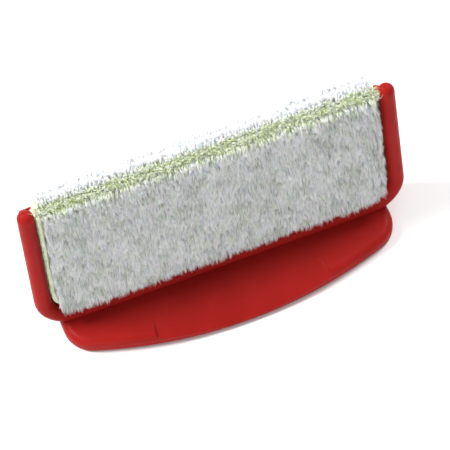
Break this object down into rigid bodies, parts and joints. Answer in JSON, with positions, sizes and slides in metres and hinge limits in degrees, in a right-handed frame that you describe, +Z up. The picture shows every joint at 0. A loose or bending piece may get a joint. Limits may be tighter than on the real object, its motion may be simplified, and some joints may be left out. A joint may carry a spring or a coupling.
{
  "type": "paint pad edger",
  "caption": "L-shaped hand-held paint edger: a moulded thumb grip and guide plate with an upright U-shaped rim that holds a slide-in foam pad faced with painting pile.",
  "frame": {"origin": "middle of the bounding box at the floor, which is the grip's flat underside", "axes": "+X along the long side to the right of a user facing the pile, -Y from the head to the rim of the grip, +Z up; the head leans 10 degrees back towards +Y"},
  "size_m": [0.115, 0.036, 0.0552],
  "materials": {
    "red_plastic": "moulded polypropylene, satin gloss",
    "tray_plastic": "moulded polystyrene, matt",
    "adhesive_tape": "double-sided acrylic tape",
    "foam": "open-cell polyurethane foam, yellow green",
    "ground_cloth": "knitted ground of the pile fabric, yellow green",
    "pile": "cut polyester pile, white"
  },
  "bodies": {
    "holder_body": {"holder": "red_plastic"},
    "pad_cartridge": {"pad_tray": "tray_plastic", "tray_tape": "adhesive_tape", "foam_core": "foam", "backing_cloth": "ground_cloth", "pile_face": "pile", "pile_top": "pile"}
  },
  "joints": [
    {"name": "pad_slide", "type": "slide", "parent": "holder_body", "child": "pad_cartridge", "axis": [0, 0.1736, 0.9848], "range_m": [0, 0.046]}
  ]
}
